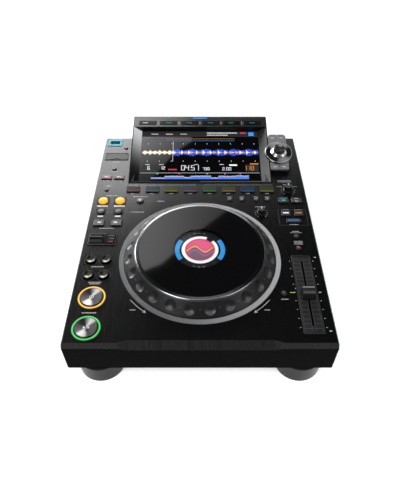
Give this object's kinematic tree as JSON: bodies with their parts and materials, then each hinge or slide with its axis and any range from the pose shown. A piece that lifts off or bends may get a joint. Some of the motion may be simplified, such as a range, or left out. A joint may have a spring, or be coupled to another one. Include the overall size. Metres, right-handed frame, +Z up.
{
  "type": "tabletop dj media player",
  "caption": "Tabletop player for disc jockeys: dimpled jog wheel, sunk touch display under a sloping hood, tempo slider, cue pads, lit transport keys, rear sockets, round feet.",
  "frame": {"origin": "on the table, under the middle of the whole outline", "axes": "+X right as its user sees it, +Y to the back, +Z up"},
  "size_m": [0.329, 0.453, 0.118],
  "materials": {
    "deck": "black paint over a fine hairline brush",
    "pan": "satin black",
    "foot": "satin grey with a fine turned grain",
    "steel": "bright",
    "hood": "fine satin grain",
    "screen": "clear glass over a lit display",
    "lcd": "plain",
    "light_grey": "fine ribbed satin",
    "black": "satin",
    "gloss_black": "polished",
    "silver": "spun and polished",
    "lit_rings": "translucent, lit green and amber",
    "orange": "translucent, lit amber",
    "key": "satin rubber-like",
    "pad": "satin, tinted by its own light",
    "grey_key": "fine leather grain",
    "port_frame": "translucent, lit blue",
    "door_grey": "satin",
    "board": "solder mask",
    "can": "folded sheet"
  },
  "bodies": {
    "root": {"ac_inlet": "black", "bottom_pan": "pan", "case_screws": "steel", "circuit_boards": "board", "direction_escutcheon": "gloss_black", "display_glass": "screen", "display_housing": "hood", "feet": "foot", "jog_display": "screen", "jog_post": "black", "jog_ring": "light_grey", "lcd_module": "lcd", "media_ports": "port_frame", "power_supply": "can", "rear_panel": "pan", "selector_housing": "black", "selector_ring": "gloss_black", "signal_jacks": "black", "slider_plate": "key", "slider_track": "black", "top_cover": "deck", "transport_rings": "lit_rings"},
    "platter": {"platter": "black", "platter_rim": "silver", "platter_glass": "gloss_black"},
    "hot_cue_1": {"hot_cue_1": "pad"},
    "hot_cue_2": {"hot_cue_2": "pad"},
    "hot_cue_3": {"hot_cue_3": "pad"},
    "hot_cue_4": {"hot_cue_4": "pad"},
    "hot_cue_5": {"hot_cue_5": "pad"},
    "hot_cue_6": {"hot_cue_6": "pad"},
    "hot_cue_7": {"hot_cue_7": "pad"},
    "hot_cue_8": {"hot_cue_8": "pad"},
    "loop_in_button": {"loop_in_button": "orange"},
    "loop_out_button": {"loop_out_button": "orange"},
    "reloop_button": {"reloop_button": "key"},
    "beat_loop_4_button": {"beat_loop_4_button": "key"},
    "beat_loop_8_button": {"beat_loop_8_button": "key"},
    "beat_jump_back_button": {"beat_jump_back_button": "key"},
    "beat_jump_forward_button": {"beat_jump_forward_button": "key"},
    "track_back_button": {"track_back_button": "silver"},
    "track_forward_button": {"track_forward_button": "silver"},
    "search_back_button": {"search_back_button": "silver"},
    "search_forward_button": {"search_forward_button": "silver"},
    "mode_buttons": {"mode_buttons": "key"},
    "memory_buttons": {"memory_buttons": "key"},
    "tempo_buttons": {"tempo_buttons": "key"},
    "sync_buttons": {"sync_buttons": "key"},
    "play_button": {"play_button": "silver"},
    "cue_button": {"cue_button": "silver"},
    "menu_buttons": {"menu_buttons": "gloss_black"},
    "browse_buttons": {"browse_buttons": "grey_key"},
    "selector_shaft": {"selector_shaft": "steel"},
    "selector_knob": {"selector_knob": "silver"},
    "tempo_slider": {"tempo_slider": "black"},
    "direction_lever": {"direction_lever": "black"},
    "vinyl_speed_knob": {"vinyl_speed_knob": "black"},
    "jog_adjust_knob": {"jog_adjust_knob": "black"},
    "sd_door": {"sd_door": "door_grey"},
    "power_switch": {"power_switch": "gloss_black"}
  },
  "joints": [
    {"name": "platter_spin", "type": "hinge", "parent": "root", "child": "platter", "pos_m": [0, -0.086, 0.085], "axis": [0, 0, 1], "continuous": true},
    {"name": "hot_cue_1_press", "type": "slide", "parent": "root", "child": "hot_cue_1", "axis": [0, 0, -1], "range_m": [0, 0.001], "stiffness_N_per_m": 350, "springref_m": -0.0005},
    {"name": "hot_cue_2_press", "type": "slide", "parent": "root", "child": "hot_cue_2", "axis": [0, 0, -1], "range_m": [0, 0.001], "stiffness_N_per_m": 350, "springref_m": -0.0005},
    {"name": "hot_cue_3_press", "type": "slide", "parent": "root", "child": "hot_cue_3", "axis": [0, 0, -1], "range_m": [0, 0.001], "stiffness_N_per_m": 350, "springref_m": -0.0005},
    {"name": "hot_cue_4_press", "type": "slide", "parent": "root", "child": "hot_cue_4", "axis": [0, 0, -1], "range_m": [0, 0.001], "stiffness_N_per_m": 350, "springref_m": -0.0005},
    {"name": "hot_cue_5_press", "type": "slide", "parent": "root", "child": "hot_cue_5", "axis": [0, 0, -1], "range_m": [0, 0.001], "stiffness_N_per_m": 350, "springref_m": -0.0005},
    {"name": "hot_cue_6_press", "type": "slide", "parent": "root", "child": "hot_cue_6", "axis": [0, 0, -1], "range_m": [0, 0.001], "stiffness_N_per_m": 350, "springref_m": -0.0005},
    {"name": "hot_cue_7_press", "type": "slide", "parent": "root", "child": "hot_cue_7", "axis": [0, 0, -1], "range_m": [0, 0.001], "stiffness_N_per_m": 350, "springref_m": -0.0005},
    {"name": "hot_cue_8_press", "type": "slide", "parent": "root", "child": "hot_cue_8", "axis": [0, 0, -1], "range_m": [0, 0.001], "stiffness_N_per_m": 350, "springref_m": -0.0005},
    {"name": "loop_in_button_press", "type": "slide", "parent": "root", "child": "loop_in_button", "axis": [0, 0, -1], "range_m": [0, 0.001], "stiffness_N_per_m": 350, "springref_m": -0.0005},
    {"name": "loop_out_button_press", "type": "slide", "parent": "root", "child": "loop_out_button", "axis": [0, 0, -1], "range_m": [0, 0.001], "stiffness_N_per_m": 350, "springref_m": -0.0005},
    {"name": "reloop_button_press", "type": "slide", "parent": "root", "child": "reloop_button", "axis": [0, 0, -1], "range_m": [0, 0.001], "stiffness_N_per_m": 350, "springref_m": -0.0005},
    {"name": "beat_loop_4_button_press", "type": "slide", "parent": "root", "child": "beat_loop_4_button", "axis": [0, 0, -1], "range_m": [0, 0.001], "stiffness_N_per_m": 350, "springref_m": -0.0005},
    {"name": "beat_loop_8_button_press", "type": "slide", "parent": "root", "child": "beat_loop_8_button", "axis": [0, 0, -1], "range_m": [0, 0.001], "stiffness_N_per_m": 350, "springref_m": -0.0005},
    {"name": "beat_jump_back_button_press", "type": "slide", "parent": "root", "child": "beat_jump_back_button", "axis": [0, 0, -1], "range_m": [0, 0.001], "stiffness_N_per_m": 350, "springref_m": -0.0005},
    {"name": "beat_jump_forward_button_press", "type": "slide", "parent": "root", "child": "beat_jump_forward_button", "axis": [0, 0, -1], "range_m": [0, 0.001], "stiffness_N_per_m": 350, "springref_m": -0.0005},
    {"name": "track_back_button_press", "type": "slide", "parent": "root", "child": "track_back_button", "axis": [0, 0, -1], "range_m": [0, 0.001], "stiffness_N_per_m": 350, "springref_m": -0.0005},
    {"name": "track_forward_button_press", "type": "slide", "parent": "root", "child": "track_forward_button", "axis": [0, 0, -1], "range_m": [0, 0.001], "stiffness_N_per_m": 350, "springref_m": -0.0005},
    {"name": "search_back_button_press", "type": "slide", "parent": "root", "child": "search_back_button", "axis": [0, 0, -1], "range_m": [0, 0.001], "stiffness_N_per_m": 350, "springref_m": -0.0005},
    {"name": "search_forward_button_press", "type": "slide", "parent": "root", "child": "search_forward_button", "axis": [0, 0, -1], "range_m": [0, 0.001], "stiffness_N_per_m": 350, "springref_m": -0.0005},
    {"name": "mode_buttons_press", "type": "slide", "parent": "root", "child": "mode_buttons", "axis": [0, 0, -1], "range_m": [0, 0.0006], "stiffness_N_per_m": 600, "springref_m": -0.0003},
    {"name": "memory_buttons_press", "type": "slide", "parent": "root", "child": "memory_buttons", "axis": [0, 0, -1], "range_m": [0, 0.0006], "stiffness_N_per_m": 600, "springref_m": -0.0003},
    {"name": "tempo_buttons_press", "type": "slide", "parent": "root", "child": "tempo_buttons", "axis": [0, 0, -1], "range_m": [0, 0.0006], "stiffness_N_per_m": 600, "springref_m": -0.0003},
    {"name": "sync_buttons_press", "type": "slide", "parent": "root", "child": "sync_buttons", "axis": [0, 0, -1], "range_m": [0, 0.0006], "stiffness_N_per_m": 600, "springref_m": -0.0003},
    {"name": "play_button_press", "type": "slide", "parent": "root", "child": "play_button", "axis": [0, 0, -1], "range_m": [0, 0.001], "stiffness_N_per_m": 350, "springref_m": -0.0005},
    {"name": "cue_button_press", "type": "slide", "parent": "root", "child": "cue_button", "axis": [0, 0, -1], "range_m": [0, 0.001], "stiffness_N_per_m": 350, "springref_m": -0.0005},
    {"name": "menu_buttons_press", "type": "slide", "parent": "root", "child": "menu_buttons", "axis": [0, 0.227, -0.9739], "range_m": [0, 0.0006], "stiffness_N_per_m": 900, "springref_m": -0.0003},
    {"name": "browse_buttons_press", "type": "slide", "parent": "root", "child": "browse_buttons", "axis": [0, 0.227, -0.9739], "range_m": [0, 0.001], "stiffness_N_per_m": 600, "springref_m": -0.0005},
    {"name": "selector_press", "type": "slide", "parent": "root", "child": "selector_shaft", "axis": [0, 0.227, -0.9739], "range_m": [0, 0.001], "stiffness_N_per_m": 600, "springref_m": -0.0005},
    {"name": "selector_turn", "type": "hinge", "parent": "selector_shaft", "child": "selector_knob", "pos_m": [0.1296, 0.1313, 0.09949], "axis": [0, -0.227, 0.9739], "continuous": true},
    {"name": "tempo_slide", "type": "slide", "parent": "root", "child": "tempo_slider", "axis": [0, 1, 0], "range_m": [-0.0435, 0.0539]},
    {"name": "direction_rock", "type": "hinge", "parent": "root", "child": "direction_lever", "pos_m": [-0.1468, -0.0527, 0.081], "axis": [1, 0, 0], "range_deg": [-15, 15]},
    {"name": "vinyl_speed_knob_turn", "type": "hinge", "parent": "root", "child": "vinyl_speed_knob", "pos_m": [0.0915, 0.0025, 0.085], "axis": [0, 0, 1], "range_deg": [-140, 140]},
    {"name": "jog_adjust_knob_turn", "type": "hinge", "parent": "root", "child": "jog_adjust_knob", "pos_m": [0.1375, 0.0541, 0.085], "axis": [0, 0, 1], "range_deg": [-140, 140]},
    {"name": "card_door_hinge", "type": "hinge", "parent": "root", "child": "sd_door", "pos_m": [-0.14, 0.1491, 0.0852], "axis": [-1, 0, 0], "range_deg": [0, 95]},
    {"name": "power_rock", "type": "hinge", "parent": "root", "child": "power_switch", "pos_m": [0.133, 0.1939, 0.058], "axis": [1, 0, 0], "range_deg": [-7, 7]}
  ]
}
